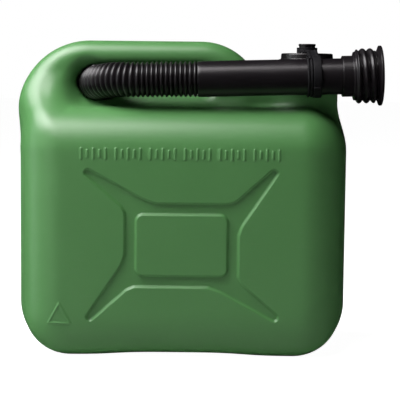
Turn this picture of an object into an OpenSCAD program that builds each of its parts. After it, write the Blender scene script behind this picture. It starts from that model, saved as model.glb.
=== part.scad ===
// Five litre fuel can: a blow moulded can with a built-in handle, a two-part screw cap,
// and a flexible pouring spout that is stowed along the top of the can.
// The wide faces lie in XZ, the spout is on the -Y side, and the can stands on z = 0.

/* [Can body] */
// Width of the can along X, over the heel of the handle
body_w = 265; // [255:1:275]
// Width of the block below the handle
block_w = 260; // [250:1:262]
// Depth of the can along Y
body_d = 130; // [124:1:140]
// Height to the top of the handle
body_h = 246.5; // [244:0.5:250]
// Height of the shoulder that the spout lies over
shoulder_h = 195; // [190:1:197]
// Thickness of the moulded wall
wall = 2.4; // [2:0.1:3]
// Radius of the long shoulder edges
edge_r = 34; // [26:1:36]
// Radius of the long bottom edges
base_edge_r = 20; // [14:1:30]
// Radius of the four upright edges
upright_r = 38; // [30:1:42]
// Radius of the bottom corners in the front view
foot_r = 36; // [30:1:40]
// Radius of the big corner at the handle end
heel_r = 57; // [50:1:58]
// Radius of the shoulder corners in the front view
shoulder_side_r = 30; // [24:1:34]

/* [Handle] */
// Depth of the handle bar along Y
handle_d = 38; // [34:1:40]
// Left end of the hand hole
hole_left = -90; // [-94:1:-88]
// Right end of the hand hole
hole_right = 30; // [24:1:32]
// Bottom of the hand hole
hole_bottom = 198; // [196:0.5:200]
// Top of the hand hole, under the bar
hole_top = 230.5; // [229.5:0.25:232]
// Radius of the hump where the handle drops to the neck
hump_r = 50; // [46:1:54]
// Radius of the handle's long edges
handle_edge_r = 12; // [6:1:13]

/* [Pressed cross] */
// Depth of the pressed cross in the front and back faces
cross_deep = 1.2; // [0.6:0.1:1.4]
// Width of the raised panel at the middle of the cross
panel_w = 71; // [66:1:76]
// Height of the raised panel
panel_h = 48; // [44:1:52]
// Height of the middle of the cross above the base
cross_z = 89.3; // [86:0.5:92]

/* [Neck] */
// Distance of the neck's axis from the middle of the can
neck_x = 99; // [98:0.5:100]
// Radius of the column that carries the neck
column_r = 25; // [24:0.5:26]
// Top of the column
column_top = 211.5; // [210:0.5:212.5]
// Radius of the hole through the neck
neck_bore_r = 14.6; // [13.5:0.1:14.8]
// Radius of the neck between its threads
neck_root_r = 16.7; // [16.5:0.1:16.8]
// Radius over the neck's threads
neck_crest_r = 19.3; // [18.8:0.1:19.3]
// Distance from one thread turn to the next
thread_pitch = 5.9; // [5.8:0.1:6.2]

/* [Cap] */
// Radius of the outer cap's skirt, without its grip ribs
skirt_r = 23.4; // [23.2:0.1:23.6]
// Number of grip ribs round the skirt
grip_ribs = 36; // [24:2:48]
// Radius of the raised disc on top of the cap
disc_r = 20.7; // [20:0.1:21.5]
// Height of the cap's top above the base
cap_top = 238.3; // [238:0.1:238.5]
// How far the outer cap is pressed down to grip the inner one
press_travel = 1.2; // [0.8:0.1:1.3]
// Radius of the stud's head
stud_head_r = 6.9; // [6:0.1:7.5]
// Radius of the stud's stem
stud_stem_r = 4; // [3.5:0.1:4.2]

/* [Spout] */
// Distance of the spout's axis in front of the middle of the can
spout_y = -40.5; // [-44:0.5:-40.5]
// Height of the spout's axis over the cap
spout_z = 219.5; // [219:0.25:220.5]
// How far the stowed spout points up towards its nut, in degrees
spout_tilt = 1.7; // [1:0.1:2]
// Outer radius of the smooth tube
tube_r = 14; // [13.5:0.1:14.2]
// Bore radius of the smooth tube
tube_bore_r = 12.2; // [11.8:0.1:12.3]
// Outer radius of the hose over its ridges
hose_r = 13.8; // [13.4:0.1:13.9]
// Depth of the hose's corrugations
hose_groove = 1.5; // [1:0.1:1.6]
// Distance from one hose ridge to the next
hose_pitch = 3.7; // [3.4:0.1:4]
// Radius of the hose's bend into the hand hole
bend_r = 34; // [32:1:35]
// Radius of the nozzle's outlet end
tip_r = 10; // [9:0.1:10.4]
// Width of the strap's band round the tube
band_w = 6.7; // [6:0.1:7.5]

/* [Hidden] */
$fn = 96;
half_w = body_w / 2;
block_half = block_w / 2;
half_d = body_d / 2;
hand_r = (hole_top - hole_bottom) / 2;
heel_x = -half_w + heel_r;
heel_z = body_h - heel_r;
hump_x = 14;
hump_end_x = 52;
saddle_z = 210.5;
saddle_r = 6;
handle_root_z = shoulder_h - edge_r;
leg_z = handle_root_z + 11;
arc_step = 9;
cross_margin = 8;
arm_tip_r = 2.7;
frame_corner_r = 4;
panel_corner_r = 5.5;

// Neck and cap heights, worked down from the cap's top
lid_t = 2;
neck_top = cap_top - 12;
first_thread_z = column_top + 5.2;
gasket_t = 2;
inner_top = neck_top + 0.1 + gasket_t;
inner_plate_t = 1.8;
inner_r = 21.6;
inner_bore_r = 19.7;
inner_bottom = column_top + 2.3;
thread_half = 1.5;
crest_half = 0.7;
shell_bore_r = 22;
shell_bottom = column_top + 1.6;
skirt_top = cap_top - 5.3;
lid_bore_r = 19.2;
step_z = inner_top + inner_plate_t + press_travel + 0.3;
spring_low = inner_top + inner_plate_t + 0.05;
spring_high = cap_top - lid_t - 0.05;
stud_head_z = cap_top + 5.9;
stud_head_t = 1.6;
stud_gap = 0.3;
eye_low = cap_top + 0.5;
eye_high = stud_head_z - press_travel - 0.2;
eye_r = 8.4;

// Stations along the spout, measured from the strap and towards the nut
tube_start = -88;
tube_end = 36;
tube_bead = 1.2;
tube_bead_w = 2.4;
cuff_len = 9;
cuff_fit = 0.05;
strap_start = -3.8;
band_start = 1;
rib_high = 1.6;
rib_low = 1.1;
band_high = 2.3;
collar_start = 25.5;
thread_start = 35;
thread_end = 51.8;
nut_end = 57.5;
collar_r = 15.9;
nut_root_r = 18.7;
nut_crest_r = 21.4;
nut_wall = 1.6;
nut_ridges = 3;
rim_r = 23.3;
rim_t = 2.1;
washer_t = 2;

// Where the hose leaves the tube, and its bend
hose_x0 = neck_x + tube_start * cos(spout_tilt);
hose_z0 = spout_z + tube_start * sin(spout_tilt);
bend_x = -35;
bend_z = hose_z0 - 2.1;
hose_slope = atan2(hose_z0 - bend_z, hose_x0 - bend_x);
hose_run = norm([hose_x0 - bend_x, hose_z0 - bend_z]);
hose_bore = hose_r - hose_groove - 1.6;
hose_tail = 35;
bend_out = hose_r - hose_groove / 2;
nozzle_len = 33;
nozzle_wall = 1.6;
nozzle_shoulder = 3;
nozzle_taper_end = 9;
can_green = [0.26, 0.49, 0.27];
cap_black = [0.07, 0.07, 0.08];
seal_grey = [0.35, 0.35, 0.36];

// Points of an arc from angle a0 to angle a1, in steps of about arc_step degrees
function arc(x, z, r, a0, a1) = let (n = ceil(abs(a1 - a0) / arc_step))
  [for (i = [0:n]) [x + r * cos(a0 + i * (a1 - a0) / n), z + r * sin(a0 + i * (a1 - a0) / n)]];

// A corner of a plate: an arc that starts at angle a0, or a plain point where the radius is 0
function corner(x, z, to_x, to_z, r, a0) =
  r > 0 ? arc(x + to_x * r, z + to_z * r, r, a0, a0 + 90) : [[x, z]];

// A plate with its own radius at each corner: bottom left, bottom right, top right, top left
module corner_plate(x0, z0, x1, z1, radii) {
  polygon(concat(
    corner(x0, z0, 1, 1, radii[0], 180), corner(x1, z0, -1, 1, radii[1], 270),
    corner(x1, z1, -1, -1, radii[2], 0), corner(x0, z1, 1, -1, radii[3], 90)
  ));
}

// Stands a plate drawn in XZ up as a slab from y0 to y1
module slab_xz(y0, y1) {
  translate([0, y1, 0]) rotate([90, 0, 0]) linear_extrude(y1 - y0) children();
}

// Stands a plate drawn in YZ up as a slab over the whole width
module slab_yz(x0, x1) {
  translate([x0, 0, 0]) rotate([90, 0, 90]) linear_extrude(x1 - x0) children();
}

// Lower block of the can, shrunk by t all round
module lower_block(t) {
  side_r = shoulder_side_r - t;
  intersection() {
    slab_xz(-half_d + t, half_d - t)
      corner_plate(-block_half + t, t, block_half - t, shoulder_h - t, [foot_r - t, foot_r - t, side_r, side_r]);
    slab_yz(-half_w - 1, half_w + 1)
      corner_plate(-half_d + t, t, half_d - t, shoulder_h - t,
        [base_edge_r - t, base_edge_r - t, edge_r - t, edge_r - t]);
    linear_extrude(shoulder_h)
      corner_plate(-block_half + t, -half_d + t, block_half - t, half_d - t, [for (i = [0:3]) upright_r - t]);
  }
}

// Front outline of the handle and the saddle between it and the neck, shrunk by t
module handle_outline(t) {
  hump_z = body_h - hump_r;
  hump_end = acos((hump_end_x - t - hump_x) / (hump_r - t));
  polygon(concat(
    [[-half_w + t, leg_z], [-half_w + t + 12, handle_root_z], [neck_x, handle_root_z], [neck_x, saddle_z - t]],
    arc(hump_end_x - t + saddle_r, saddle_z - t + saddle_r, saddle_r, 270, 180),
    arc(hump_x, hump_z, hump_r - t, hump_end, 90),
    arc(heel_x, heel_z, heel_r - t, 90, 180)
  ));
}

// Handle block with its long edges rounded, shrunk by t
module handle_block(t) {
  half = handle_d / 2 - t;
  intersection() {
    slab_xz(-half, half) handle_outline(t);
    slab_yz(-half_w - 1, half_w + 1)
      corner_plate(-half, handle_root_z - 1, half, body_h - t, [0, 0, handle_edge_r - t, handle_edge_r - t]);
    translate([0, 0, handle_root_z]) linear_extrude(body_h - handle_root_z)
      corner_plate(-half_w + t, -half, neck_x + 1, half, [handle_edge_r - t, 0, 0, handle_edge_r - t]);
  }
}

// Hand hole through the handle, grown by t
module hand_hole(t) {
  slab_xz(-half_d, half_d)
    corner_plate(hole_left - t, hole_bottom - t, hole_right + t, hole_top + t, [for (i = [0:3]) hand_r + t - 0.5]);
}

// One arm of the pressed cross, from its base on the panel's frame to its rounded tip
module cross_arm(base_a, base_b, tip) {
  along = (tip - (base_a + base_b) / 2) / norm(tip - (base_a + base_b) / 2);
  side = [-along[1], along[0]] * (arm_tip_r - 0.4);
  polygon([base_a, base_b, tip - side, tip + side]);
  translate(tip) circle(arm_tip_r, $fn = 32);
}

// Outline of the pressed cross: a frame round the panel and an arm towards each corner
module cross_outline() {
  fw = panel_w / 2 + cross_margin;
  fh = panel_h / 2 + cross_margin;
  difference() {
    union() {
      corner_plate(-fw, -fh, fw, fh, [for (i = [0:3]) frame_corner_r]);
      for (turn = [0, 180]) rotate(turn) {
        cross_arm([-fw - 2, fh - 4], [-fw + 20, fh], [-72.5, 55.5]);
        cross_arm([fw - 4, fh], [fw, fh - 21], [70.8, 56.2]);
      }
    }
    corner_plate(-panel_w / 2, -panel_h / 2, panel_w / 2, panel_h / 2, [for (i = [0:3]) panel_corner_r]);
  }
}

// Rings that stand for the turns of a coarse thread round Z
module thread_rings(root, crest, first_z, turns) {
  for (i = [0:turns - 1]) translate([0, 0, first_z + i * thread_pitch])
    rotate_extrude() polygon([
      [root - 0.6, -thread_half - 0.4], [root, -thread_half], [crest, -crest_half],
      [crest, crest_half], [root, thread_half], [root - 0.6, thread_half + 0.4]
    ]);
}

module can_body() {
  color(can_green) difference() {
    union() {
      lower_block(0);
      handle_block(0);
      translate([neck_x, 0, handle_root_z]) cylinder(r = column_r, h = column_top - handle_root_z);
      translate([neck_x, 0, column_top - 1]) cylinder(r = neck_root_r, h = neck_top - column_top + 1);
      translate([neck_x, 0, 0]) thread_rings(neck_root_r, neck_crest_r, first_thread_z, 2);
    }
    hand_hole(0);
    lower_block(wall);
    difference() {
      handle_block(wall);
      hand_hole(wall);
    }
    translate([neck_x, 0, handle_root_z - 1])
      cylinder(r = column_r - wall, h = column_top - wall - handle_root_z + 1);
    translate([neck_x, 0, shoulder_h]) cylinder(r = neck_bore_r, h = neck_top - shoulder_h + 1);
    for (face = [0, 180]) rotate(face)
      translate([0, -half_d, cross_z]) slab_xz(-1, cross_deep) cross_outline();
  }
}

module cap_inner() {
  color(cap_black) translate([neck_x, 0, 0]) {
    rotate_extrude() polygon([
      [0, inner_top], [inner_bore_r, inner_top], [inner_bore_r, inner_bottom],
      [inner_r, inner_bottom], [inner_r, inner_top + inner_plate_t], [0, inner_top + inner_plate_t]
    ]);
    translate([0, 0, first_thread_z + thread_pitch / 2]) rotate_extrude() polygon([
      [inner_bore_r + 0.3, -1.1], [neck_root_r + 0.5, -0.5], [neck_root_r + 0.5, 0.5], [inner_bore_r + 0.3, 1.1]
    ]);
  }
}

module cap_gasket() {
  color(seal_grey) translate([neck_x, 0, neck_top + 0.05]) cylinder(r = inner_bore_r - 0.4, h = gasket_t);
}

// Shallow coned ring that holds the two caps apart
module cap_spring() {
  color(seal_grey) translate([neck_x, 0, 0]) rotate_extrude() polygon([
    [8, spring_high - 0.9], [8, spring_high], [10, spring_high], [17.5, spring_low + 0.9],
    [18.5, spring_low + 0.9], [18.5, spring_low], [16.5, spring_low]
  ]);
}

module cap_shell() {
  color(cap_black) translate([neck_x, 0, 0]) {
    rotate_extrude() polygon([
      [stud_stem_r, cap_top - lid_t], [lid_bore_r, cap_top - lid_t], [lid_bore_r, step_z + 0.8],
      [shell_bore_r, step_z], [shell_bore_r, shell_bottom],
      [skirt_r, shell_bottom], [skirt_r, skirt_top], [disc_r, skirt_top + 0.8], [disc_r, cap_top - 1.5],
      [disc_r - 1.5, cap_top], [stud_stem_r, cap_top]
    ]);
    for (i = [0:grip_ribs - 1]) rotate(i * 360 / grip_ribs)
      translate([skirt_r - 0.4, -0.6, shell_bottom + 1]) cube([0.9, 1.2, skirt_top - shell_bottom - 2]);
  }
}

module cap_stud() {
  color(cap_black) translate([neck_x, 0, 0]) rotate_extrude() polygon([
    [0, cap_top - lid_t - 0.6], [stud_stem_r - 0.8, cap_top - lid_t - 0.6], [stud_stem_r, cap_top - lid_t],
    [stud_stem_r, stud_head_z], [stud_head_r, stud_head_z], [stud_head_r, stud_head_z + stud_head_t - 0.4],
    [stud_head_r - 0.4, stud_head_z + stud_head_t], [0, stud_head_z + stud_head_t]
  ]);
}

// Places a shape drawn round Z on the spout's axis, with its +Z towards the nut
module on_spout() {
  translate([neck_x, spout_y, spout_z]) rotate([0, 90 - spout_tilt, 0]) children();
}

// The strap's band round the tube, and a forked eye that slips under the stud's head
module spout_strap() {
  band_z = spout_z + tube_r + 1.2;
  color(cap_black) difference() {
    union() {
      on_spout() rotate_extrude() polygon([
        [tube_r + cuff_fit, strap_start], [tube_r + rib_low, strap_start], [tube_r + rib_high, strap_start + 1.2],
        [tube_r + rib_low, strap_start + 2.4], [tube_r + rib_high, strap_start + 3.6],
        [tube_r + rib_low, band_start], [tube_r + band_high, band_start],
        [tube_r + band_high, band_start + band_w], [tube_r + cuff_fit, band_start + band_w]
      ]);
      translate([neck_x, 0, eye_low]) cylinder(r1 = eye_r, r2 = eye_r - 0.5, h = eye_high - eye_low);
      slab_yz(neck_x - 3.5, neck_x + 5.5) polygon([
        [-5, eye_low], [-22.5, eye_low], [-34, band_z - 3], [-42, band_z - 1.4], [-42, band_z + 1],
        [-32, band_z + 0.2], [-20.5, eye_low + 2], [-5, eye_low + 2]
      ]);
    }
    translate([neck_x, 0, eye_low - 1]) cylinder(r = stud_stem_r + stud_gap, h = 10);
    translate([neck_x - stud_stem_r - stud_gap, 0, eye_low - 1]) cube([2 * (stud_stem_r + stud_gap), 20, 10]);
    on_spout() translate([0, 0, strap_start - 2]) cylinder(r = tube_r + cuff_fit, h = 20);
  }
}

module spout_tube() {
  color(cap_black) on_spout() rotate_extrude() polygon([
    [tube_bore_r, tube_start], [tube_r, tube_start], [tube_r, tube_end - tube_bead_w],
    [tube_r + tube_bead, tube_end - tube_bead_w], [tube_r + tube_bead, tube_end], [tube_bore_r, tube_end]
  ]);
}

// Wall section of a straight hose: n ridges over the given run, starting at z0
function ridge_points(z0, n) = [for (i = [0:n - 1]) each [
  [hose_r - hose_groove, z0 + i * hose_pitch],
  [hose_r - 0.2, z0 + (i + 0.28) * hose_pitch],
  [hose_r, z0 + (i + 0.5) * hose_pitch],
  [hose_r - 0.2, z0 + (i + 0.72) * hose_pitch]
]];

// Places a shape in the hose's own frame: its origin is where the bend starts, +X runs back to the tube
module on_hose() {
  translate([bend_x, spout_y, bend_z]) rotate([0, -hose_slope, 0]) children();
}

module spout_hose() {
  ridges = floor(hose_run / hose_pitch);
  cuff_r = tube_bore_r - cuff_fit;
  color(cap_black) on_hose() {
    translate([hose_run, 0, 0]) rotate([0, -90, 0]) rotate_extrude() polygon(concat(
      [[hose_bore, -cuff_len], [cuff_r, -cuff_len], [cuff_r, 0.05]],
      ridge_points(0.1, ridges), [[bend_out, hose_run], [hose_bore, hose_run]]
    ));
    translate([0, bend_r, 0]) rotate([0, 0, 180]) rotate_extrude(angle = 90) translate([bend_r, 0]) difference() {
      circle(bend_out, $fn = 64);
      circle(hose_bore, $fn = 64);
    }
    translate([-bend_r, bend_r, 0]) rotate([-90, 0, 0]) rotate_extrude() translate([hose_bore, 0])
      square([bend_out - hose_bore, hose_tail]);
  }
}

// Tapered pouring end, pushed into the free end of the hose
module spout_nozzle() {
  color(cap_black) on_hose() translate([-bend_r, bend_r + hose_tail, 0]) rotate([-90, 0, 0])
    rotate_extrude() polygon([
      [hose_bore - nozzle_wall, 1 - cuff_len], [hose_bore - cuff_fit, 1 - cuff_len], [hose_bore - cuff_fit, cuff_fit],
      [bend_out, cuff_fit], [bend_out, nozzle_shoulder], [tip_r, nozzle_taper_end], [tip_r, nozzle_len],
      [tip_r - nozzle_wall, nozzle_len], [tip_r - nozzle_wall, nozzle_taper_end - 1]
    ]);
}

module spout_nut() {
  mid = (nut_root_r + nut_crest_r) / 2;
  ridge_z = [for (i = [0:nut_ridges - 1]) thread_start + 3 + i * thread_pitch * 0.95];
  color(cap_black) on_spout() rotate_extrude() difference() {
    union() {
      polygon([
        [0, collar_start], [collar_r, collar_start], [collar_r, thread_start - 0.8], [nut_root_r, thread_start],
        [nut_root_r, thread_end], [rim_r - 0.6, nut_end - rim_t - 0.4], [rim_r, nut_end - rim_t], [rim_r, nut_end],
        [0, nut_end]
      ]);
      for (z = ridge_z) polygon([
        [mid - 3, z - 2.6], [nut_root_r, z - 2.6], [nut_crest_r - 0.3, z - 1.6], [nut_crest_r, z - 0.8],
        [nut_crest_r, z + 0.8], [nut_crest_r - 0.3, z + 1.6], [nut_root_r, z + 2.6], [mid - 3, z + 2.6]
      ]);
    }
    translate([0, collar_start - 1]) square([tube_r + 0.3, 20]);
    translate([0, collar_start + tube_bead_w]) square([tube_r + tube_bead + 0.1, 20]);
    translate([0, tube_end + 0.2]) square([nut_root_r - nut_wall, 40]);
    for (z = ridge_z) polygon([
      [0, z - 1.6], [nut_root_r - nut_wall, z - 1.9], [nut_crest_r - nut_wall, z - 0.9],
      [nut_crest_r - nut_wall, z + 0.9], [nut_root_r - nut_wall, z + 1.9], [0, z + 1.6]
    ]);
  }
}

module nut_washer() {
  color(seal_grey) on_spout() translate([0, 0, tube_end + 0.25]) difference() {
    cylinder(r = nut_root_r - nut_wall - 0.05, h = washer_t);
    translate([0, 0, -1]) cylinder(r = tube_bore_r, h = washer_t + 2);
  }
}

can_body();
cap_inner();
cap_gasket();
cap_spring();
cap_shell();
cap_stud();
spout_strap();
spout_tube();
spout_hose();
spout_nozzle();
spout_nut();
nut_washer();
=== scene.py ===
import math

import bmesh
import bpy
import numpy as np
from mathutils import Matrix, Vector


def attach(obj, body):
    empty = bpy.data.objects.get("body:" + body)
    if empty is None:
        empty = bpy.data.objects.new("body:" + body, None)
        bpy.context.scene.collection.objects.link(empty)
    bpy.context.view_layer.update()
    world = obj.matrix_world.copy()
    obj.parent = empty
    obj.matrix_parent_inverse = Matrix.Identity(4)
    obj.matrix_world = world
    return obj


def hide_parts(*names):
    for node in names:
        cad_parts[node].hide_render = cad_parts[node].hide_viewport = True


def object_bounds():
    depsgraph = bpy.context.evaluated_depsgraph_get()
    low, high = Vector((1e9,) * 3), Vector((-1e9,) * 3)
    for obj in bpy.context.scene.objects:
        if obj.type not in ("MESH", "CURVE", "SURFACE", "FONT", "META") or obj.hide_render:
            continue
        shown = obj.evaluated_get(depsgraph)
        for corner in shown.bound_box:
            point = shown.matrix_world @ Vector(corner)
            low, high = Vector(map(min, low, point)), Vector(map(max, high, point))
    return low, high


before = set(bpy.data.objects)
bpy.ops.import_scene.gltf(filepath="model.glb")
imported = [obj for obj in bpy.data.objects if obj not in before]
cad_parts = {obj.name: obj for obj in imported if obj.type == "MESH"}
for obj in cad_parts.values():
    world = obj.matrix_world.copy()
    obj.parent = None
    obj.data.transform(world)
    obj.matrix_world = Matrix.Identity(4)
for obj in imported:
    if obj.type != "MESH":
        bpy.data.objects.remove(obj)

cad_low, cad_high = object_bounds()


# Camera. It stands a little over a metre in front of the can, slightly above it and
# level apart from a small roll, with a long lens as for a catalogue picture.
mm = 0.001
camera_target = Vector((13.9, 0, 118.5)) * mm
camera_distance = 1100 * mm
camera_height_angle = math.radians(5.5)
camera_roll = math.radians(0.6)

camera_data = bpy.data.cameras.new("catalogue_camera")
camera_data.lens = 121.4
camera_data.sensor_width = 36
camera_data.clip_start = 0.05
camera_data.clip_end = 50
camera = bpy.data.objects.new("catalogue_camera", camera_data)
bpy.context.scene.collection.objects.link(camera)
camera_back = Vector((0, -math.cos(camera_height_angle), math.sin(camera_height_angle)))
camera.location = camera_target + camera_back * camera_distance
camera_turn = camera_back.to_track_quat("Z", "Y").to_matrix() @ Matrix.Rotation(camera_roll, 3, "Z")
camera.rotation_euler = camera_turn.to_euler()
bpy.context.scene.camera = camera
bpy.context.scene.view_settings.view_transform = "Standard"


# Finishes. Every piece is moulded plastic or rubber, so one small class builds their
# node trees: a Value is one socket, and sums and products of Values add the Math nodes.
class Value:
    """One output socket of a finish, which takes part in sums and products."""

    def __init__(self, finish, socket):
        self.finish = finish
        self.socket = socket

    def _math(self, operation, first, second):
        return self.finish.node("ShaderNodeMath", {0: first, 1: second}, operation=operation)

    def __add__(self, other):
        return self._math("ADD", self, other)

    def __radd__(self, other):
        return self._math("ADD", other, self)

    def __mul__(self, other):
        return self._math("MULTIPLY", self, other)

    def __rmul__(self, other):
        return self._math("MULTIPLY", other, self)

    def between(self, low, high):
        """Spreads the range from low to high over 0 to 1, and holds it there."""
        settings = {"clamp": True, "interpolation_type": "SMOOTHSTEP"}
        return self.finish.node("ShaderNodeMapRange", {0: self, 1: low, 2: high, 3: 0.0, 4: 1.0}, **settings)


class Finish:
    """A material whose nodes are added one call at a time."""

    def __init__(self, name):
        self.material = bpy.data.materials.new(name)
        self.material.use_nodes = True
        self.tree = self.material.node_tree
        self.tree.nodes.clear()
        self.place = self.node("ShaderNodeTexCoord", output="Object")

    def node(self, kind, inputs=None, output=0, **settings):
        made = self.tree.nodes.new(kind)
        for name, setting in settings.items():
            setattr(made, name, setting)
        for name, value in (inputs or {}).items():
            if isinstance(value, Value):
                self.tree.links.new(value.socket, made.inputs[name])
            else:
                made.inputs[name].default_value = value
        return Value(self, made.outputs[output])

    def stretched(self, x, y, z):
        """The place on the piece, scaled by its own factor along each axis."""
        return self.node("ShaderNodeVectorMath", {0: self.place, 1: (x, y, z)}, operation="MULTIPLY")

    def noise(self, scale, detail=2.0, place=None):
        inputs = {"Vector": place or self.place, "Scale": scale, "Detail": detail}
        return self.node("ShaderNodeTexNoise", inputs, output="Fac")

    def colour_mix(self, share, first, second):
        inputs = {0: share, 6: first, 7: second}
        return self.node("ShaderNodeMix", inputs, output=2, data_type="RGBA")

    def surface(self, colour, roughness, height, bump_depth, **plain):
        """The plastic itself: its colour, its gloss and the fine relief that the mould left."""
        bump_inputs = {"Height": height, "Strength": 1.0, "Distance": bump_depth}
        bump = self.node("ShaderNodeBump", bump_inputs, output="Normal")
        inputs = {"Base Color": colour, "Roughness": roughness, "Normal": bump}
        inputs.update(plain)
        skin = self.node("ShaderNodeBsdfPrincipled", inputs, output="BSDF")
        end = self.tree.nodes.new("ShaderNodeOutputMaterial")
        self.tree.links.new(skin.socket, end.inputs["Surface"])
        return self.material


# Can body. One hollow blow-moulded shell of green polyethylene with a satin skin: a deep
# rounded block, a handle bar over a hand hole, and a column that carries the neck.
half_w = 132.5 * mm
half_d = 65 * mm
block_left, block_right = -130.2 * mm, 131 * mm
side_crown = 3.5 * mm
shoulder_z = 195 * mm
block_r = 35 * mm
foot_r = 40 * mm
base_r = 20 * mm
handle_top = cad_high.z
heel_r = 57 * mm
hump_r = 50 * mm
hump_right = 64 * mm
hump_cut = 53 * mm
handle_half = 19 * mm
handle_edge = 12.5 * mm
hole_left, hole_right = -86.3 * mm, 30 * mm
hole_low, hole_high = 199.4 * mm, 227.6 * mm
hole_floor_rise = 4.2 * mm
hole_corner_r = 16 * mm
hole_edge_r = 6 * mm
saddle_r = 7 * mm
saddle_left = 45 * mm
buried_z = 150 * mm
column_x = 99 * mm
column_r = 25 * mm
column_top = 211.5 * mm
saddle_top = 210.5 * mm
crease_r = 13 * mm
heel_blend = 20 * mm
heel_lean = 0.8
lean_top = 221 * mm
lean_limit = 22 * mm
left_part_end = -50 * mm
crown = 0.8 * mm
arch_rise = 2.2 * mm
neck_bore_r = 14.6 * mm
skin_cell = 2.3 * mm


def eased(t):
    """A soft step from 0 to 1."""
    t = np.clip(t, 0, 1)
    return t * t * (3 - 2 * t)


def plate(u, v, left, right, low, high, radii):
    """Distance to a flat plate with its own corner radii: bottom left and right, top left and right."""
    cu, cv = u - (left + right) / 2, v - (low + high) / 2
    below = np.where(cu < 0, radii[0], radii[1])
    above = np.where(cu < 0, radii[2], radii[3])
    r = np.where(cv < 0, below, above)
    qu = np.abs(cu) - (right - left) / 2 + r
    qv = np.abs(cv) - (high - low) / 2 + r
    return np.hypot(np.maximum(qu, 0), np.maximum(qv, 0)) + np.minimum(np.maximum(qu, qv), 0) - r


def merged(a, b, k):
    """Two shapes joined with a soft inner corner about k wide."""
    h = np.maximum(k - np.abs(a - b), 0) / k
    return np.minimum(a, b) - h * h * k / 4


def shared(a, b, r):
    """What two shapes share, with the edge between them rounded to radius r."""
    qa, qb = a + r, b + r
    return np.hypot(np.maximum(qa, 0), np.maximum(qb, 0)) + np.minimum(np.maximum(qa, qb), 0) - r


def can_distance(p):
    """Distance from each point to the can's skin, negative inside."""
    x, y = p[..., 0], p[..., 1]
    arch = arch_rise * np.exp(-((x + 2 * mm) / (55 * mm)) ** 4)
    z = p[..., 2] - arch * (1 - eased(p[..., 2] / (60 * mm)))
    fullness = np.maximum(1 - (x / (118 * mm)) ** 2, 0) * np.maximum(1 - ((z - 95 * mm) / (82 * mm)) ** 2, 0)
    depth = np.abs(y) - crown * fullness

    # The block: its sides narrow away from the middle, and its edges grow from foot to shoulder.
    drawn_in = side_crown * np.clip(y / (40 * mm), -1, 1) ** 2
    corner_radii = [foot_r, foot_r, block_r, block_r]
    block = plate(x, z, block_left + drawn_in, block_right - drawn_in, 0, shoulder_z, corner_radii)
    block = shared(block, depth - half_d, base_r + (block_r - base_r) * eased(z / (40 * mm)))

    # The handle's outline, and the heel that leans back from the shoulder up to the bar.
    heel_left = -half_w + drawn_in + (block_left + half_w) * (1 - eased((z - 150 * mm) / (50 * mm)))
    outline = plate(x, z, heel_left, hump_right, 0, handle_top, [foot_r, block_r, heel_r, hump_r])
    outline = shared(outline, x - hump_cut, 5 * mm)
    handle = shared(outline, depth - handle_half, handle_edge)

    heel_k = crease_r + (heel_blend - crease_r) * eased((-70 * mm - x) / (25 * mm))
    section = plate(depth, z, -half_d, half_d, 0, shoulder_z, [base_r, base_r, block_r, block_r])
    below_lean = lean_top - z
    lean = heel_lean * eased((-80 * mm - x) / (26 * mm)) * (below_lean + np.hypot(below_lean, 8 * mm)) / 2
    lean = lean_limit * np.tanh(lean / lean_limit)
    section = merged(section, depth - handle_half - lean, heel_k)
    edge = handle_edge + (block_r - handle_edge) * (1 - eased((z - 165 * mm) / (50 * mm)))
    heel = np.maximum(shared(outline, section, edge), x - left_part_end)

    buried = buried_z - z
    bar = np.maximum(np.maximum(handle, -95 * mm - x), buried)
    can = np.minimum(merged(block, bar, crease_r), heel)

    # A saddle fills the space between the handle and the neck's column.
    saddle = shared(shared(x - column_x, saddle_left - x, mm), depth - handle_half, saddle_r)
    saddle = shared(saddle, z - saddle_top, saddle_r)
    can = merged(can, np.maximum(saddle, buried), saddle_r)

    # The hand hole's floor rises towards the neck, and its edge is fuller at the front left.
    floor_rise = hole_floor_rise * eased((x + 72 * mm) / (30 * mm))
    hole = plate(x, z, hole_left, hole_right, hole_low + floor_rise, hole_high, [hole_corner_r] * 4)
    front_left = eased((-60 * mm - x) / (25 * mm)) * eased((10 * mm - y) / (20 * mm))
    hole_edge = hole_edge_r * (1 + front_left)
    can = shared(can, -hole, hole_edge)

    round_column = np.hypot(x - column_x, y) - column_r
    column = np.maximum(shared(round_column, z - column_top, 3 * mm), buried)
    can = merged(can, column, crease_r)
    bore = np.maximum(np.hypot(x - column_x, y) - neck_bore_r, 170 * mm - z)
    return np.maximum(can, -bore)


def settle(points, rounds=3):
    """Moves points straight onto the can's skin, and returns them with the skin's direction there."""
    step = 0.15 * mm
    for _ in range(rounds):
        slope = np.empty_like(points)
        for axis in range(3):
            shift = np.zeros(3)
            shift[axis] = step
            slope[:, axis] = can_distance(points + shift) - can_distance(points - shift)
        slope /= 2 * step
        length2 = np.maximum((slope ** 2).sum(1), 0.1)
        move = can_distance(points) / length2
        points = points - slope * np.clip(move, -3 * mm, 3 * mm)[:, None]
    return points, slope / np.linalg.norm(slope, axis=1, keepdims=True)


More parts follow.
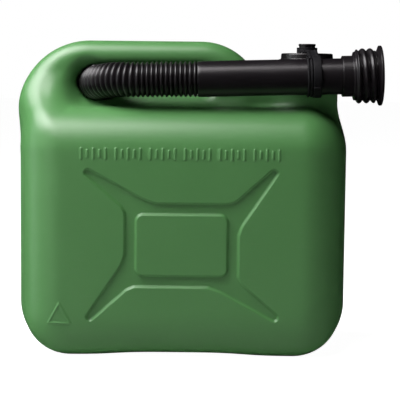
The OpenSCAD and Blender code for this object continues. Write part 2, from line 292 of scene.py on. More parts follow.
def net(distance, low, high, cell):
    """Covers the surface where a distance is zero with a net of four-sided faces."""
    axes = [np.arange(a, b + cell, cell) for a, b in zip(low, high)]
    grid = np.stack(np.meshgrid(*axes, indexing="ij"), axis=-1)
    value = distance(grid)
    cells = tuple(n - 1 for n in value.shape)
    total = np.zeros(cells + (3,))
    count = np.zeros(cells)
    crossings = []
    for axis in range(3):
        near = [slice(None)] * 3
        far = [slice(None)] * 3
        near[axis], far[axis] = slice(0, -1), slice(1, None)
        v0, v1 = value[tuple(near)], value[tuple(far)]
        crossed = (v0 < 0) != (v1 < 0)
        share = np.where(crossed, v0 / np.where(crossed, v0 - v1, 1), 0)
        spot = grid[tuple(near)].copy()
        spot[..., axis] += share * cell
        spot[~crossed] = 0
        others = [a for a in range(3) if a != axis]
        for first in (0, 1):
            for second in (0, 1):
                pick = [slice(None)] * 3
                pick[others[0]] = slice(first, first + cells[others[0]])
                pick[others[1]] = slice(second, second + cells[others[1]])
                total += spot[tuple(pick)]
                count += crossed[tuple(pick)]
        crossings.append((axis, crossed, v0 < 0, others))
    used = count > 0
    number = np.full(cells, -1)
    number[used] = np.arange(used.sum())
    points = total[used] / count[used][:, None]
    faces = []
    for axis, crossed, starts_inside, others in crossings:
        at = np.argwhere(crossed)
        keep = (at[:, others[0]] > 0) & (at[:, others[1]] > 0)
        keep &= (at[:, others[0]] < cells[others[0]]) & (at[:, others[1]] < cells[others[1]])
        at = at[keep]
        ring = []
        for first, second in ((1, 1), (0, 1), (0, 0), (1, 0)):
            corner = at.copy()
            corner[:, others[0]] -= first
            corner[:, others[1]] -= second
            ring.append(number[tuple(corner.T)])
        ring = np.stack(ring, axis=1)
        outward = starts_inside[tuple(at.T)]
        flip = outward if axis == 1 else ~outward
        ring[flip] = ring[flip][:, ::-1]
        faces.append(ring)
    return points, np.concatenate(faces)


# The relief pressed into the can: a cross of four tapering grooves round a flush panel
# on both wide faces, a row of raised ticks and a small raised triangle on the front one.
cross_z = 89.3 * mm
panel_half_w, panel_half_h = 35.5 * mm, 24 * mm
frame_half_w, frame_half_h = 43.7 * mm, 32.3 * mm
arm_tip_r = 2.7 * mm
cross_depth = 2.3 * mm
cross_wall = 1.05 * mm
tick_height = 0.6 * mm
tick_pitch = 4.7 * mm
ticks_in_group = 5
group_pitch = 26.6 * mm
tick_groups = 6
ticks_left = -77.5 * mm
ticks_z = 159.6 * mm
triangle_corners = [(-102.7 * mm, 27.9 * mm), (-85.7 * mm, 27.9 * mm), (-94.2 * mm, 43.4 * mm)]


def polygon_distance(u, v, corners):
    """Distance to the outline of a polygon, negative inside."""
    best = np.full(u.shape, 1e9)
    sign = np.ones(u.shape)
    for (au, av), (bu, bv) in zip(corners, corners[-1:] + corners[:-1]):
        eu, ev = bu - au, bv - av
        wu, wv = u - au, v - av
        t = np.clip((wu * eu + wv * ev) / (eu * eu + ev * ev), 0, 1)
        best = np.minimum(best, (wu - t * eu) ** 2 + (wv - t * ev) ** 2)
        over, under = v >= av, v < bv
        left = eu * wv > ev * wu
        flips = (over & under & left) | (~over & ~under & ~left)
        sign = np.where(flips, -sign, sign)
    return sign * np.sqrt(best)


def arm_distance(u, v, base_a, base_b, tip):
    """One groove, from its base on the panel's frame to its rounded tip."""
    middle = ((base_a[0] + base_b[0]) / 2, (base_a[1] + base_b[1]) / 2)
    length = math.hypot(tip[0] - middle[0], tip[1] - middle[1])
    side = (-(tip[1] - middle[1]) / length * arm_tip_r, (tip[0] - middle[0]) / length * arm_tip_r)
    sides = [base_a, base_b, (tip[0] - side[0], tip[1] - side[1]), (tip[0] + side[0], tip[1] + side[1])]
    groove = polygon_distance(u, v, sides)
    return np.minimum(groove, np.hypot(u - tip[0], v - tip[1]) - arm_tip_r)


def cross_distance(x, z):
    u, v = x, z - cross_z
    fw, fh = frame_half_w, frame_half_h
    cross = plate(u, v, -fw, fw, -fh, fh, [4 * mm] * 4)
    for turn in (1, -1):
        tu, tv = u * turn, v * turn
        upper_left = arm_distance(tu, tv, (-fw, fh - 5 * mm), (-fw + 20 * mm, fh), (-72.3 * mm, 55.6 * mm))
        upper_right = arm_distance(tu, tv, (fw - 4 * mm, fh), (fw, fh - 21 * mm), (70.6 * mm, 56.3 * mm))
        cross = merged(cross, np.minimum(upper_left, upper_right), 4.5 * mm)
    panel = plate(u, v, -panel_half_w, panel_half_w, -panel_half_h, panel_half_h, [6 * mm] * 4)
    return np.maximum(cross, -panel)


def tick_distance(x, z):
    along = x - ticks_left
    group = np.clip(np.floor((along + tick_pitch / 2) / group_pitch), 0, tick_groups - 1)
    along = along - group * group_pitch
    tick = np.clip(np.round(along / tick_pitch), 0, ticks_in_group - 1)
    tall = np.where(tick % 2 == 0, 4.4 * mm, 3.2 * mm)
    du = np.abs(along - tick * tick_pitch) - 0.75 * mm
    dv = np.abs(z - ticks_z) - tall
    return np.hypot(np.maximum(du, 0), np.maximum(dv, 0)) + np.minimum(np.maximum(du, dv), 0)


def relief(points, facing):
    """Height of the relief at each point, and the distance to its nearest line."""
    x, z = points[:, 0], points[:, 2]
    front, rear = facing < -0.35, facing > 0.35
    cross = cross_distance(np.where(rear, -x, x), z)
    ticks = np.where(front, tick_distance(x, z), 1.0)
    triangle = np.where(front, np.abs(polygon_distance(x, z, triangle_corners)) - 0.7 * mm, 1.0)
    height = -cross_depth * eased(0.5 - cross / (2 * cross_wall))
    height = height + tick_height * eased(0.5 - ticks / (0.9 * mm))
    height = height + tick_height * eased(0.5 - triangle / (0.9 * mm))
    lines = np.minimum(np.abs(cross) - 0.6 * mm, np.minimum(np.abs(ticks), np.abs(triangle)))
    shown = front | rear
    return np.where(shown, height, 0), np.where(shown, lines, 1.0)


def new_piece(name, mesh, finish, smooth_angle=None):
    """Puts a finished mesh into the scene as a smooth-shaded piece."""
    piece = bpy.data.objects.new(name, mesh)
    bpy.context.scene.collection.objects.link(piece)
    mesh.materials.append(finish)
    mesh.shade_smooth()
    if smooth_angle:
        mesh.set_sharp_from_angle(angle=math.radians(smooth_angle))
    return piece


can_low = (cad_low.x - 4 * mm, -half_d - 4 * mm, -4 * mm)
can_high = (half_w + 4 * mm, half_d + 4 * mm, handle_top + 4 * mm)
skin_points, skin_faces = net(can_distance, can_low, can_high, skin_cell)
sides = np.sort(np.concatenate([skin_faces[:, [i, (i + 1) % 4]] for i in range(4)]), axis=1)
sides = np.unique(sides, axis=0)
ends = np.concatenate([sides, sides[:, ::-1]])
for _ in range(4):
    skin_points, _ = settle(skin_points, 1)
    point_count = len(skin_points)
    sums = [np.bincount(ends[:, 0], skin_points[ends[:, 1], axis], point_count) for axis in range(3)]
    mean = np.stack(sums, 1) / np.bincount(ends[:, 0], minlength=point_count)[:, None]
    skin_points = skin_points * 0.4 + mean * 0.6
skin_points, _ = settle(skin_points, 2)

can_bmesh = bmesh.new()
for point in skin_points:
    can_bmesh.verts.new(point)
can_bmesh.verts.ensure_lookup_table()
for face in skin_faces:
    can_bmesh.faces.new([can_bmesh.verts[i] for i in face])
seam_half = 1.3 * mm
for reach in (3.2 * mm, 1.9 * mm):
    points = np.array([v.co for v in can_bmesh.verts])
    _, facing = settle(points, 1)
    _, lines = relief(points, facing[:, 1])
    near_seam = (np.abs(points[:, 1]) < seam_half) & (points[:, 2] > 3 * mm)
    near = (lines < reach) | near_seam
    can_bmesh.verts.ensure_lookup_table()
    can_bmesh.verts.index_update()
    chosen = [e for e in can_bmesh.edges if near[e.verts[0].index] and near[e.verts[1].index]]
    bmesh.ops.subdivide_edges(can_bmesh, edges=chosen, cuts=1, use_grid_fill=True)
points = np.array([v.co for v in can_bmesh.verts])
points, facing = settle(points, 2)
seam = np.abs(points[:, 1]) < 0.3 * mm
points[seam, 1] = 0
height, _ = relief(points, facing[:, 1])
ridge = 0.3 * mm * np.exp(-(points[:, 1] / (0.45 * mm)) ** 2)
on_column = np.hypot(points[:, 0] - column_x, points[:, 1]) < neck_bore_r + 4 * mm
height += np.where((points[:, 2] > 3 * mm) & ~on_column, ridge, 0)
points += facing * height[:, None]
for vertex, point in zip(can_bmesh.verts, points):
    vertex.co = point
can_mesh = bpy.data.meshes.new("can_shell")
can_bmesh.to_mesh(can_mesh)
can_bmesh.free()

green = Finish("satin_green_plastic")
cloud = green.noise(9, 3)
grain = green.noise(1400, 3)
orange_peel = green.noise(160, 2)
rub = green.noise(60, 5, green.stretched(1, 1, 7))
rubbed = rub.between(0.60, 0.74)
green_deep = (0.079, 0.248, 0.070, 1)
green_light = (0.096, 0.280, 0.086, 1)
green_worn = (0.145, 0.310, 0.138, 1)
green_colour = green.colour_mix(cloud, green_deep, green_light)
green_colour = green.colour_mix(rubbed * 0.14, green_colour, green_worn)
green_roughness = 0.36 + 0.05 * cloud + 0.10 * rubbed
green_height = 0.55 * grain + 1.3 * orange_peel
green_plain = {"Specular IOR Level": 0.75}
can_finish = green.surface(green_colour, green_roughness, green_height, 0.05 * mm, **green_plain)

can = new_piece("can_shell", can_mesh, can_finish)
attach(can, "can")
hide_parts("can_body")


# Neck. The coarse thread that the cap and the spout's nut screw onto stands on the
# column and is part of the same moulding; the cap covers it.
neck_root_r = 16.7 * mm
neck_crest_r = 19.3 * mm
neck_top = 226.3 * mm
thread_pitch = 5.9 * mm


def softened(profile, steps=4):
    """A profile of (radius, station, corner) points, with each corner turned into a small arc."""
    line = []
    count = len(profile)
    for i, (r, s, corner) in enumerate(profile):
        here = np.array((r, s))
        back = np.array(profile[i - 1][:2]) - here
        ahead = np.array(profile[(i + 1) % count][:2]) - here
        room = min(np.linalg.norm(back), np.linalg.norm(ahead)) * 0.49
        if corner <= 0 or room < 1e-7:
            line.append(tuple(here))
            continue
        back, ahead = back / np.linalg.norm(back), ahead / np.linalg.norm(ahead)
        angle = math.acos(max(-1, min(1, float(back @ ahead))))
        reach = min(corner / math.tan(angle / 2), room) if angle < 3.1 else 0
        start, end = here + back * reach, here + ahead * reach
        for j in range(steps + 1):
            t = j / steps
            curve = start * (1 - t) ** 2 + here * 2 * t * (1 - t) + end * t ** 2
            line.append(tuple(curve))
    return line


def placed(origin, along, start=Vector((0, 0, 1))):
    """Turns a shape drawn round Z so that its Z runs along a direction from an origin."""
    z_axis = Vector(along).normalized()
    x_axis = (start - z_axis * start.dot(z_axis)).normalized()
    y_axis = z_axis.cross(x_axis)
    turn = Matrix((x_axis, y_axis, z_axis)).transposed().to_4x4()
    return Matrix.Translation(origin) @ turn


def turned(name, profile, where, finish, segments=96, radius=None, smooth_angle=35):
    """A closed profile turned round its axis; radius(r, station, angle) may change it round the turn."""
    rings = len(profile)
    angles = np.arange(segments) * 2 * math.pi / segments
    r, s = np.array([p[0] for p in profile])[:, None], np.array([p[1] for p in profile])[:, None]
    turn = angles[None, :]
    r = radius(r, s, turn) if radius else r + 0 * turn
    points = np.stack([r * np.cos(turn), r * np.sin(turn), s + 0 * turn], axis=-1).reshape(-1, 3)
    faces = []
    for i in range(rings):
        below, above = i * segments, (i + 1) % rings * segments
        for j in range(segments):
            k = (j + 1) % segments
            faces.append((below + j, below + k, above + k, above + j))
    mesh = bpy.data.meshes.new(name)
    mesh.from_pydata(points.tolist(), [], faces)
    work = bmesh.new()
    work.from_mesh(mesh)
    bmesh.ops.remove_doubles(work, verts=work.verts, dist=1e-6)
    bmesh.ops.recalc_face_normals(work, faces=work.faces)
    work.to_mesh(mesh)
    work.free()
    mesh.transform(where)
    return new_piece(name, mesh, finish, smooth_angle)


def screw_ridge(station, angle, first, last, pitch, sharpness=1.0):
    """Height from 0 to 1 of a right-handed screw ridge between its first and last station."""
    phase = (station - first) / pitch - angle / (2 * math.pi)
    wave = 0.5 - 0.5 * np.cos(2 * math.pi * phase)
    ends_faded = eased((station - first) / (pitch / 3)) * eased((last - station) / (pitch / 3))
    return wave ** sharpness * ends_faded


def neck_radius(r, s, angle):
    ridge = screw_ridge(s, angle, column_top + 2.5 * mm, neck_top - 0.8 * mm, thread_pitch, 1.6)
    outside = r > neck_root_r - 0.2 * mm
    return r + np.where(outside, (neck_crest_r - neck_root_r) * ridge, 0)


neck_profile = [(neck_bore_r, column_top - 6 * mm, 0), (neck_root_r, column_top - 6 * mm, 0)]
neck_steps = 26
for i in range(neck_steps + 1):
    station = column_top - mm + (neck_top - 0.6 * mm - column_top + mm) * i / neck_steps
    neck_profile.append((neck_root_r, station, 0))
neck_profile += [(neck_root_r - 0.5 * mm, neck_top, 0), (neck_bore_r, neck_top, 0.4 * mm)]
neck_place = Matrix.Translation((column_x, 0, 0))
neck = turned("neck_thread", softened(neck_profile), neck_place, can_finish, 96, neck_radius)
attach(neck, "can")


# Cap. Two semi-gloss black polypropylene shells: the inner one carries the thread and
# seals the neck, and the outer one, with its finger ribs, has to be pressed down to grip it.
cap_top = 238.3 * mm
skirt_r = 23.4 * mm
skirt_top = 233 * mm
shell_bottom = 213.1 * mm
disc_r = 20.7 * mm
grip_ribs = 36


def black_finish(name, warm, gloss, grain_depth, streaks):
    """Moulded black plastic: nearly black with a faint warm cast, fine grain and handling marks."""
    black = Finish(name)
    patch = black.noise(26, 3)
    grain = black.noise(2200, 2)
    flow = black.noise(70, 4, black.stretched(streaks, 1, 1))
    handled = flow.between(0.52, 0.72)
    dark = (0.0062 * warm, 0.0058, 0.0062 * warm, 1)
    dusty = (0.0145 * warm, 0.0130, 0.0138 * warm, 1)
    colour = black.colour_mix(patch * 0.35 + handled * 0.25, dark, dusty)
    roughness = gloss + 0.07 * patch + 0.09 * handled
    return black.surface(colour, roughness, grain + 0.5 * patch, grain_depth, **{"Specular IOR Level": 0.5})


cap_finish = black_finish("semi_gloss_black_cap", 1.0, 0.24, 0.02 * mm, 1.0)
seal = Finish("grey_seal_rubber")
seal_patch = seal.noise(120, 3)
seal_colour = seal.colour_mix(seal_patch, (0.070, 0.070, 0.074, 1), (0.100, 0.100, 0.104, 1))
seal_finish = seal.surface(seal_colour, 0.62 + 0.12 * seal_patch, seal.noise(1500, 2), 0.03 * mm)
inner_finishes = {
    "cap_inner": cap_finish, "cap_gasket": seal_finish, "cap_spring": seal_finish, "nut_washer": seal_finish
}
for node_name, node_finish in inner_finishes.items():
    node_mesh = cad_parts[node_name].data
    node_mesh.materials.clear()
    node_mesh.materials.append(node_finish)


def ribbed_radius(r, s, angle):
    rib = eased(np.cos(angle * grip_ribs) * 1.6 + 0.2)
    zone = eased((s - shell_bottom - 0.6 * mm) / mm) * eased((skirt_top - 0.9 * mm - s) / mm)
    outside = r > skirt_r - 0.3 * mm
    return r + np.where(outside, 0.55 * mm * rib * zone, 0)


shell_profile = [
    (4.0 * mm, cap_top - 2 * mm, 0), (19.2 * mm, cap_top - 2 * mm, 0.5 * mm), (19.2 * mm, 232.3 * mm, 0),
    (22.0 * mm, 231.5 * mm, 0.3 * mm), (22.0 * mm, shell_bottom, 0.2 * mm),
    (skirt_r, shell_bottom, 0.4 * mm)
]
skirt_rows = 12
for i in range(1, skirt_rows):
    shell_profile.append((skirt_r, shell_bottom + (skirt_top - shell_bottom) * i / skirt_rows, 0))
shell_profile += [
    (skirt_r, skirt_top, 1.1 * mm), (disc_r + 0.3 * mm, skirt_top + 0.7 * mm, 0.5 * mm),
    (disc_r, cap_top - 0.2 * mm, 1.3 * mm), (disc_r - 3.2 * mm, cap_top - 0.1 * mm, 0.4 * mm),
    (disc_r - 3.9 * mm, cap_top - 0.6 * mm, 0.3 * mm), (9.0 * mm, cap_top - 0.6 * mm, 0.3 * mm),
    (8.4 * mm, cap_top, 0.2 * mm), (4.0 * mm, cap_top, 0)
]
shell_place = Matrix.Translation((column_x, 0, 0))
cap_shell = turned("cap_outer_shell", softened(shell_profile), shell_place, cap_finish, 288, ribbed_radius)
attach(cap_shell, "outer_cap")
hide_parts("cap_shell")

stud_boss_z, stud_head_z = 242.7 * mm, 244.2 * mm
stud_profile = [
    (0, cap_top - 2.6 * mm, 0), (3.2 * mm, cap_top - 2.6 * mm, 0.3 * mm), (4.0 * mm, cap_top - 2 * mm, 0),
    (4.0 * mm, stud_boss_z, 0.2 * mm), (6.5 * mm, stud_boss_z, 0.3 * mm), (6.5 * mm, stud_head_z, 0),
    (6.9 * mm, stud_head_z, 0.3 * mm), (6.9 * mm, 245.8 * mm, 0.5 * mm),
    (2.6 * mm, 245.8 * mm, 0.4 * mm), (2.2 * mm, 245.1 * mm, 0.3 * mm), (0, 245.1 * mm, 0)
]
stud = turned("cap_stud_head", softened(stud_profile), shell_place, cap_finish, 64)
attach(stud, "outer_cap")
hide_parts("cap_stud")


# Strap. One matte black rubber moulding that holds the stowed spout to the cap: two
# rounded rims and a flat band grip the tube, and an arm reaches back to an eye on the stud.
spout_origin = Vector((99, -40.5, 219.5)) * mm
spout_tilt = math.radians(1.7)
spout_along = Vector((math.cos(spout_tilt), 0, math.sin(spout_tilt)))
spout_place = placed(spout_origin, spout_along)
tube_r = 14 * mm
tube_bore_r = 12.2 * mm
band_start, band_end = 1.6 * mm, 7.7 * mm
strap_profile = [
    (tube_r + 0.05 * mm, -3.2 * mm, 0.2 * mm), (tube_r + 0.9 * mm, -3.2 * mm, 0.3 * mm),
    (tube_r + 1.8 * mm, -2.6 * mm, 0.5 * mm), (tube_r + 1.8 * mm, -1.8 * mm, 0.5 * mm),
    (tube_r + 0.6 * mm, -1.0 * mm, 0.4 * mm), (tube_r + 1.8 * mm, -0.2 * mm, 0.5 * mm),
    (tube_r + 1.8 * mm, 0.6 * mm, 0.5 * mm), (tube_r + 0.8 * mm, 1.4 * mm, 0.2 * mm),
    (tube_r + 2.3 * mm, band_start, 0.35 * mm), (tube_r + 2.3 * mm, band_end, 0.45 * mm),
    (tube_r + 0.05 * mm, band_end, 0.2 * mm)
]
rubber = Finish("matte_black_strap_rubber")
rubber_patch = rubber.noise(60, 4)
rubber_colour = rubber.colour_mix(rubber_patch, (0.0045, 0.0045, 0.0055, 1), (0.0095, 0.0095, 0.011, 1))
rubber_roughness = 0.58 + 0.14 * rubber_patch
rubber_plain = {"Specular IOR Level": 0.2}
rubber_grain = rubber.noise(1800, 3)
strap_finish = rubber.surface(rubber_colour, rubber_roughness, rubber_grain, 0.04 * mm, **rubber_plain)
strap_ring = turned("strap_ring", softened(strap_profile), spout_place, strap_finish, 96)
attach(strap_ring, "spout")
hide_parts("spout_strap")


def slab(name, outline, thickness, where, finish, bevel):
    """A flat outline given a thickness along its local Z, with rounded edges."""
    work = bmesh.new()
    face = work.faces.new([work.verts.new((u, v, 0)) for u, v in outline])
    grown = bmesh.ops.extrude_face_region(work, geom=[face])
    top = [g for g in grown["geom"] if isinstance(g, bmesh.types.BMVert)]
    bmesh.ops.translate(work, verts=top, vec=(0, 0, thickness))
    bmesh.ops.recalc_face_normals(work, faces=work.faces)
    rims = [e for e in work.edges if abs(e.verts[0].co.z - e.verts[1].co.z) < 1e-7]
    bmesh.ops.bevel(work, geom=rims, offset=bevel, segments=3, affect="EDGES", profile=0.5)
    mesh = bpy.data.meshes.new(name)
    work.to_mesh(mesh)
    work.free()
    mesh.transform(where)
    return new_piece(name, mesh, finish, 40)


def arc(cx, cy, r, start, end, steps):
    """Points of an arc, with its angles in degrees."""
    angles = [math.radians(start + (end - start) * i / steps) for i in range(steps + 1)]
    return [(cx + r * math.cos(a), cy + r * math.sin(a)) for a in angles]


eye_r = 8.3 * mm
eye_layers = {
    "strap_eye": (4.3 * mm, 238.5 * mm, 241.4 * mm), "strap_eye_rim": (6.9 * mm, 241.4 * mm, 242.8 * mm)
}
for layer_name, (eye_gap, eye_low, eye_high) in eye_layers.items():
    gap_angle = math.degrees(math.asin(eye_gap / eye_r))
    eye_outline = arc(0, 0, eye_r, 90 + gap_angle, 450 - gap_angle, 40)
    eye_outline += [(eye_gap, 0)]
    eye_outline += arc(0, 0, eye_gap, 0, -180, 24)[1:-1]
    eye_outline += [(-eye_gap, 0)]
    eye_place = Matrix.Translation((column_x, 0, eye_low))
    strap_eye = slab(layer_name, eye_outline, eye_high - eye_low, eye_place, strap_finish, 0.25 * mm)
    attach(strap_eye, "spout")

arm_left, arm_right = 97 * mm, 105.5 * mm
arm_t = 2.0 * mm
arm_line = [
    Vector((-4.5, 240.2)), Vector((-14, 240.1)), Vector((-21.5, 239.4)),
    Vector((-28, 237.6)), Vector((-34, 236.2)), Vector((-41, 235.4)), Vector((-47, 233.2))
]


def smooth_line(corners, steps):
    """A soft curve through a few chosen points."""
    line = []
    padded = [corners[0] * 2 - corners[1]] + corners + [corners[-1] * 2 - corners[-2]]
    for a, b, c, d in zip(padded, padded[1:], padded[2:], padded[3:]):
        for i in range(steps):
            t = i / steps
            line.append(0.5 * (2 * b + (c - a) * t + (2 * a - 5 * b + 4 * c - d) * t ** 2
                               + (3 * b - a - 3 * c + d) * t ** 3))
    return line + [corners[-1]]


arm_mid = smooth_line(arm_line, 5)
arm_bmesh = bmesh.new()
arm_rows = []
arm_section = softened([
    (0, -arm_t / 2, 0.6 * mm), (arm_right - arm_left, -arm_t / 2, 0.6 * mm),
    (arm_right - arm_left, arm_t / 2, 0.8 * mm), (6.9 * mm, arm_t / 2, 0.4 * mm),
    (6.4 * mm, arm_t / 2 - 0.4 * mm, 0.3 * mm), (2.4 * mm, arm_t / 2 - 0.4 * mm, 0.3 * mm),
    (1.9 * mm, arm_t / 2, 0.4 * mm), (0, arm_t / 2, 0.8 * mm)
], 3)
for i, mid in enumerate(arm_mid):
    ahead = arm_mid[min(i + 1, len(arm_mid) - 1)] - arm_mid[max(i - 1, 0)]
    out = Vector((ahead.y, -ahead.x)).normalized()
    row = []
    for across, rise in arm_section:
        spot = mid * mm + out * rise
        row.append(arm_bmesh.verts.new((arm_left + across, spot.x, spot.y)))
    arm_rows.append(row)
for row, following in zip(arm_rows, arm_rows[1:]):
    for j in range(len(row)):
        k = (j + 1) % len(row)
        arm_bmesh.faces.new((row[j], row[k], following[k], following[j]))
arm_bmesh.faces.new(arm_rows[0])
arm_bmesh.faces.new(list(reversed(arm_rows[-1])))
bmesh.ops.recalc_face_normals(arm_bmesh, faces=arm_bmesh.faces)
arm_mesh = bpy.data.meshes.new("strap_arm")
arm_bmesh.to_mesh(arm_mesh)
arm_bmesh.free()
strap_arm = new_piece("strap_arm", arm_mesh, strap_finish, 50)
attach(strap_arm, "spout")

pad_corner = 1.0 * mm
pad_w, pad_h, pad_t = 5.2 * mm, 6.6 * mm, 1.3 * mm
pad_outline = []
for cx, cy, start in ((1, 1, 0), (-1, 1, 90), (-1, -1, 180), (1, -1, 270)):
    corner_x, corner_y = cx * (pad_w / 2 - pad_corner), cy * (pad_h / 2 - pad_corner)
    pad_outline += arc(corner_x, corner_y, pad_corner, start, start + 90, 4)
pad_angle = math.radians(40)
pad_out = Vector((0, -math.cos(pad_angle), -math.sin(pad_angle)))
pad_centre = spout_origin + spout_along * 4.4 * mm + pad_out * (tube_r + 1.7 * mm)
pad_place = placed(pad_centre, pad_out, spout_along)
strap_pad = slab("strap_pad", pad_outline, pad_t, pad_place, strap_finish, 0.35 * mm)
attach(strap_pad, "spout")


# Spout tube. A smooth blow-moulded black tube with a bead at the nut's end that holds
# the swivelling nut, and a softly rounded shoulder where the hose is plugged in.
tube_start, tube_end = -88 * mm, 36 * mm
spout_finish = black_finish("satin_black_spout", 1.12, 0.27, 0.015 * mm, 0.25)
tube_profile = [
    (tube_bore_r, tube_start, 0.3 * mm), (tube_r - 0.2 * mm, tube_start, 0.8 * mm),
    (tube_r, tube_start + 3 * mm, 0), (tube_r, tube_end - 2.4 * mm, 0.2 * mm),
    (tube_r + 1.2 * mm, tube_end - 2.4 * mm, 0.3 * mm), (tube_r + 1.2 * mm, tube_end, 0.3 * mm),
    (tube_bore_r, tube_end, 0.3 * mm)
]
tube = turned("smooth_tube", softened(tube_profile), spout_place, spout_finish, 128)
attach(tube, "spout")
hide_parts("spout_tube")


# Hose. A flexible corrugated black pipe: it leaves the tube, bends through the hand
# hole behind the handle, and its soft ridges crowd together on the inside of the bend.
hose_r = 13.8 * mm
hose_groove = 1.9 * mm
hose_pitch = 3.7 * mm
hose_inner_r = 10.7 * mm
hose_bend_r = 34 * mm
hose_tail = 35 * mm
hose_start = spout_origin + spout_along * tube_start
bend_x = -35 * mm
hose_run = hose_start.x - bend_x
hose_fall = 0.8 * mm
bend_fall = 2.85 * mm
bend_swell = 1.5 * mm
swell_fade = 25 * mm
droop_start, droop_length = 0.22, 0.7
hose_total = hose_run + hose_bend_r * math.pi / 2 + hose_tail


def hose_point(s):
    """The centre line at a distance s from the tube's end: level, then drooping in its bend."""
    straight = min(s, hose_run)
    quarter = hose_bend_r * math.pi / 2
    turned_by = max(0.0, min((s - hose_run) / quarter, 1))
    tail = max(0.0, s - hose_run - quarter)
    swell = bend_swell * eased(turned_by) * (1 - eased(tail / swell_fade))
    point = hose_start - Vector((straight + hose_bend_r * math.sin(turned_by * math.pi / 2) + swell, 0, 0))
    point.y += hose_bend_r * (1 - math.cos(turned_by * math.pi / 2)) + tail
    droop = bend_fall * eased((turned_by - droop_start) / droop_length)
    point.z -= hose_fall * straight / hose_run + droop
    return point


hose_around = 72
hose_steps_per_ridge = 8
cuff = 8 * mm
hose_angles = np.arange(hose_around) * 2 * math.pi / hose_around


def hose_rings(step, radius):
    """Rings of points along the hose, one every step, with radius(s)."""
    count = int(round(hose_total / step))
    rings = []
    for i in range(count + 1):
        s = hose_total * i / count
        here = hose_point(s)
        along = (hose_point(min(s + 0.3 * mm, hose_total)) - hose_point(max(s - 0.3 * mm, 0))).normalized()
        up = (Vector((0, 0, 1)) - along * along.z).normalized()
        side = along.cross(up)
        r = radius(s)
        rings.append([here + (up * math.cos(a) + side * math.sin(a)) * r for a in hose_angles])
    return rings


def hose_outer(s):
    wave = 0.5 - 0.5 * math.cos(2 * math.pi * s / hose_pitch)
    return hose_r - hose_groove * (1 - wave ** 0.55)


outer_rings = hose_rings(hose_pitch / hose_steps_per_ridge, hose_outer)
inner_rings = hose_rings(hose_pitch * 1.5, lambda s: hose_inner_r)
cuff_rings = []
cuff_r = tube_bore_r - 0.05 * mm
for station, r in ((0.2 * mm, cuff_r), (cuff, cuff_r), (cuff, hose_inner_r)):
    centre = hose_start + spout_along * station
    side = spout_along.cross(Vector((0, 0, 1))).normalized()
    up = side.cross(spout_along)
    cuff_rings.append([centre + (up * math.cos(a) - side * -math.sin(a)) * r for a in -hose_angles])
all_rings = outer_rings + inner_rings[::-1] + cuff_rings[::-1]
hose_mesh = bpy.data.meshes.new("ribbed_hose")
hose_faces = []
for i in range(len(all_rings)):
    below, above = i * hose_around, (i + 1) % len(all_rings) * hose_around
    for j in range(hose_around):
        k = (j + 1) % hose_around
        hose_faces.append((below + j, below + k, above + k, above + j))
hose_mesh.from_pydata([tuple(p) for ring in all_rings for p in ring], [], hose_faces)
hose_bmesh = bmesh.new()
hose_bmesh.from_mesh(hose_mesh)
bmesh.ops.recalc_face_normals(hose_bmesh, faces=hose_bmesh.faces)
hose_bmesh.to_mesh(hose_mesh)
hose_bmesh.free()
hose_finish = black_finish("satin_black_hose", 1.12, 0.29, 0.015 * mm, 1.0)
hose = new_piece("ribbed_hose", hose_mesh, hose_finish, 60)
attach(hose, "spout")
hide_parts("spout_hose")


# Nozzle. The tapered pouring end, pushed into the hose; it lies behind the handle.
nozzle_len = 33 * mm
nozzle_tip_r = 10 * mm
nozzle_collar_r = 13.05 * mm
hose_end = hose_point(hose_total)
nozzle_place = placed(hose_end, Vector((0, 1, 0)))
nozzle_profile = [
    (hose_inner_r - 1.6 * mm, -8 * mm, 0.2 * mm), (hose_inner_r - 0.05 * mm, -8 * mm, 0.2 * mm),
    (hose_inner_r - 0.05 * mm, 0.05 * mm, 0), (nozzle_collar_r, 0.05 * mm, 0.4 * mm),
    (nozzle_collar_r, 3 * mm, 1.0 * mm),
    (nozzle_tip_r, 9 * mm, 2 * mm), (nozzle_tip_r, nozzle_len, 0.7 * mm),
    (nozzle_tip_r - 1.6 * mm, nozzle_len, 0.5 * mm), (nozzle_tip_r - 1.6 * mm, 8 * mm, 0.5 * mm)
]
nozzle = turned("pouring_nozzle", softened(nozzle_profile), nozzle_place, spout_finish, 96)
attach(nozzle, "spout")
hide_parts("spout_nozzle")


# Nut. A thin-walled screw nut of the same black plastic: a smooth collar turns on the
# tube's bead, and the thread inside shows as full rounded turns outside, then a wide rim.
collar_start = 24.3 * mm
collar_r = 15.9 * mm
nut_thread_start, nut_thread_end = 33.4 * mm, 51 * mm
nut_end = 54.8 * mm
nut_root_r = 18.8 * mm
nut_crest = 2.6 * mm
nut_thread_turn = math.pi * 1.12
ridge_fullness = 0.45
nut_wall = 1.6 * mm
rim_r = 23.3 * mm


def nut_radius(r, s, angle):
    first_ridge = nut_thread_start + 0.5 * mm
    ridge = screw_ridge(s, angle + nut_thread_turn, first_ridge, nut_thread_end, thread_pitch, ridge_fullness)
    body = (s > nut_thread_start + 0.3 * mm) & (s < nut_thread_end) & (r > nut_root_r - nut_wall - 0.3 * mm)
    return r + np.where(body, nut_crest * ridge, 0)


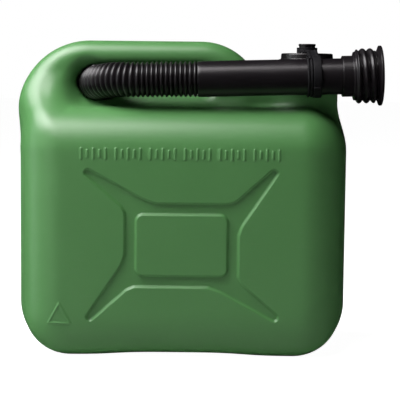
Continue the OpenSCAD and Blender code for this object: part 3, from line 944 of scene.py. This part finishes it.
nut_rows = 52
nut_profile = [
    (tube_r + 0.3 * mm, collar_start, 0.3 * mm), (collar_r, collar_start, 0.5 * mm),
    (collar_r, nut_thread_start - 0.9 * mm, 0.5 * mm), (nut_root_r, nut_thread_start - 0.2 * mm, 0.3 * mm)
]
for i in range(nut_rows + 1):
    station = nut_thread_start + (nut_thread_end - nut_thread_start) * i / nut_rows
    nut_profile.append((nut_root_r, station, 0))
nut_profile += [
    (rim_r - 1.6 * mm, nut_thread_end + 1.5 * mm, 0.8 * mm), (rim_r, nut_end - 1.9 * mm, 0.4 * mm),
    (rim_r, nut_end, 0.5 * mm), (nut_root_r + 0.6 * mm, nut_end, 0.6 * mm)
]
for i in range(nut_rows + 1):
    station = nut_thread_end - (nut_thread_end - tube_end - 0.3 * mm) * i / nut_rows
    nut_profile.append((nut_root_r - nut_wall, station, 0))
nut_profile += [
    (tube_r + 1.3 * mm, tube_end + 0.2 * mm, 0), (tube_r + 1.3 * mm, collar_start + 2.4 * mm, 0),
    (tube_r + 0.3 * mm, collar_start + 2.4 * mm, 0)
]
nut = turned("spout_nut_shell", softened(nut_profile), spout_place, spout_finish, 144, nut_radius, 50)
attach(nut, "nut")
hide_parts("spout_nut")


# Floor. A plain pale sweep that runs to a soft white horizon.
def floor_sheet(name, height, colour, glow):
    mesh = bpy.data.meshes.new(name)
    reach = 9.0
    corners = [(x * reach, y * reach, height) for x, y in ((-1, -1), (1, -1), (1, 1), (-1, 1))]
    mesh.from_pydata(corners, [], [(0, 1, 2, 3)])
    paint = Finish(name + "_paint")
    tone = paint.colour_mix(paint.noise(2, 2), colour, tuple(c * 0.99 for c in colour[:3]) + (1,))
    plain = {"Emission Color": (1, 1, 1, 1), "Emission Strength": glow, "Specular IOR Level": 0.0}
    mesh.materials.append(paint.surface(tone, 0.9, paint.noise(300, 2), 0.01 * mm, **plain))
    sheet = bpy.data.objects.new(name, mesh)
    bpy.context.scene.collection.objects.link(sheet)
    return sheet


seen_floor = floor_sheet("floor", -0.2 * mm, (0.4, 0.4, 0.4, 1), 0.985)
seen_floor.visible_diffuse = False
seen_floor.visible_glossy = False
seen_floor.visible_shadow = False
bounce_floor = floor_sheet("floor_bounce", -0.6 * mm, (0.62, 0.62, 0.62, 1), 0.0)
bounce_floor.visible_camera = False
bounce_floor.visible_glossy = False


# Light. Two bright soft boxes stand high at the front and the left of the can, a cooler one
# low on its left, and weak fills in front and behind. The white surround lights nothing.
world = bpy.data.worlds.new("studio")
world.use_nodes = True
world.node_tree.nodes["Background"].inputs["Color"].default_value = (1, 1, 1, 1)
world.cycles_visibility.diffuse = False
world.cycles_visibility.glossy = False
world.cycles_visibility.transmission = False
world.cycles_visibility.scatter = False
bpy.context.scene.world = world


def soft_box(name, azimuth, elevation, distance, width, height, brightness, colour):
    """A rectangular soft light that faces the can; brightness is what its panel shows."""
    data = bpy.data.lights.new(name, "AREA")
    data.shape = "RECTANGLE"
    data.size, data.size_y = width, height
    data.energy = brightness * width * height * math.pi
    data.color = colour
    lamp = bpy.data.objects.new(name, data)
    bpy.context.scene.collection.objects.link(lamp)
    a, e = math.radians(azimuth), math.radians(elevation)
    away = Vector((math.sin(a) * math.cos(e), -math.cos(a) * math.cos(e), math.sin(e)))
    lamp.location = camera_target + away * distance
    lamp.rotation_euler = away.to_track_quat("Z", "Y").to_euler()
    lamp.visible_camera = False
    return lamp


soft_box("overhead_box", -40, 60, 1.4, 0.8, 0.9, 6.2, (1.0, 0.95, 0.97))
soft_box("left_high_box", -76, 50, 1.0, 0.6, 0.7, 7.6, (1.0, 0.985, 1.0))
soft_box("left_box", -88, 12, 1.6, 0.6, 1.5, 1.4, (0.90, 0.97, 1.0))
soft_box("front_fill", -48, 6, 3.0, 1.8, 1.4, 0.6, (1.0, 1.0, 1.0))
soft_box("rear_fill", -150, 40, 2.2, 1.2, 1.0, 0.12, (1.0, 1.0, 1.0))
